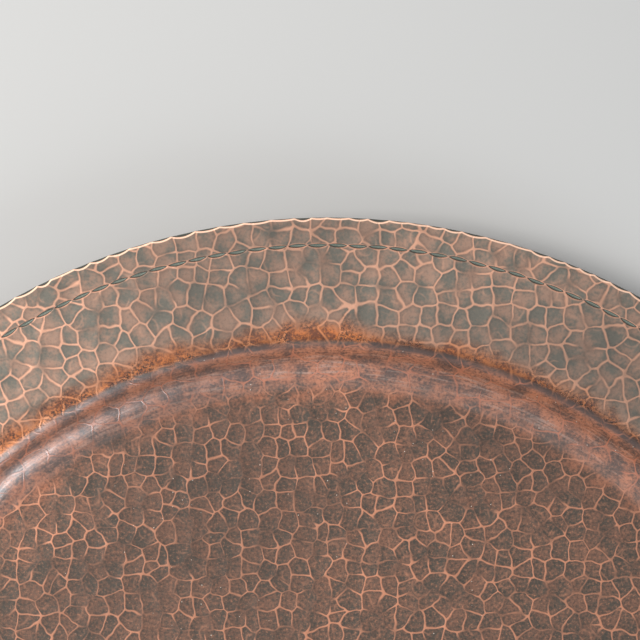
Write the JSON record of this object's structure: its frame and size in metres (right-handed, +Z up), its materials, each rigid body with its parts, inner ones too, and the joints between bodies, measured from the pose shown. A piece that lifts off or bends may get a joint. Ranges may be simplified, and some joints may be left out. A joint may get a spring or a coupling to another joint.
{
  "type": "hammered copper tray",
  "caption": "Round shallow tray raised from hammered copper sheet, with a wide flat rim, a chased dashed line and a wired edge.",
  "frame": {"origin": "centre of the flat underside of the well", "axes": "+Z up out of the well, the tray's axis of rotation; X and Y lie in the resting plane"},
  "size_m": [0.45, 0.45, 0.0176],
  "materials": {
    "patinated_copper": "hammered, dark brown patina with bright copper on the ridges",
    "wire_copper": "drawn round wire, dulled"
  },
  "bodies": {
    "root": {"tray_sheet": "patinated_copper", "rim_wire": "wire_copper"}
  },
  "joints": []
}
